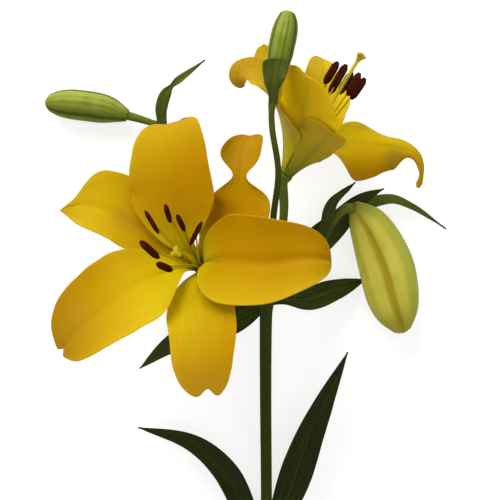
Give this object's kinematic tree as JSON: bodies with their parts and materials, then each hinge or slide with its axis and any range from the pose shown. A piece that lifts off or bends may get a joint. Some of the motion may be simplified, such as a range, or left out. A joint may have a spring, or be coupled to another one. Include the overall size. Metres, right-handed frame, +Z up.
{
  "type": "asiatic lily",
  "caption": "Cut lily stem lying on its side, with wide open blooms of broad recurved tepals, closed buds and narrow pointed leaves.",
  "frame": {"origin": "on the surface that the flower lies on, under the middle of its box", "axes": "+Y along the stem from the cut end towards the flowers, +Z up from the surface, +X to the right seen from above"},
  "size_m": [0.2314, 0.4145, 0.113],
  "materials": {
    "petal": "satin",
    "stamen": "matte",
    "pistil": "satin",
    "bud": "satin",
    "stem": "satin",
    "leaf": "satin"
  },
  "bodies": {
    "root": {"stem": "stem", "bud_left": "bud", "bud_top": "bud", "bud_right": "bud", "front_bloom_pistil": "pistil", "front_bloom_stamens": "stamen", "front_bloom_tepal_right": "petal", "front_bloom_tepal_top": "petal", "front_bloom_tepal_lower_left": "petal", "front_bloom_tepal_far": "petal", "front_bloom_tepal_left": "petal", "front_bloom_tepal_bottom": "petal", "side_bloom_pistil": "pistil", "side_bloom_stamens": "stamen", "side_bloom_tepal_front": "petal", "side_bloom_tepal_right": "petal", "side_bloom_tepal_back_left": "petal", "side_bloom_tepal_left": "petal", "side_bloom_tepal_near": "petal", "side_bloom_tepal_back": "petal", "leaf_fork_left": "leaf", "leaf_fork_right": "leaf", "leaf_under_bud": "leaf", "leaf_far_right": "leaf", "leaf_left": "leaf", "leaf_right": "leaf", "leaf_lower_left": "leaf", "leaf_lower_right": "leaf", "leaf_upper": "leaf", "bract_right": "leaf", "bract_left": "leaf", "bract_top": "leaf"}
  },
  "joints": []
}
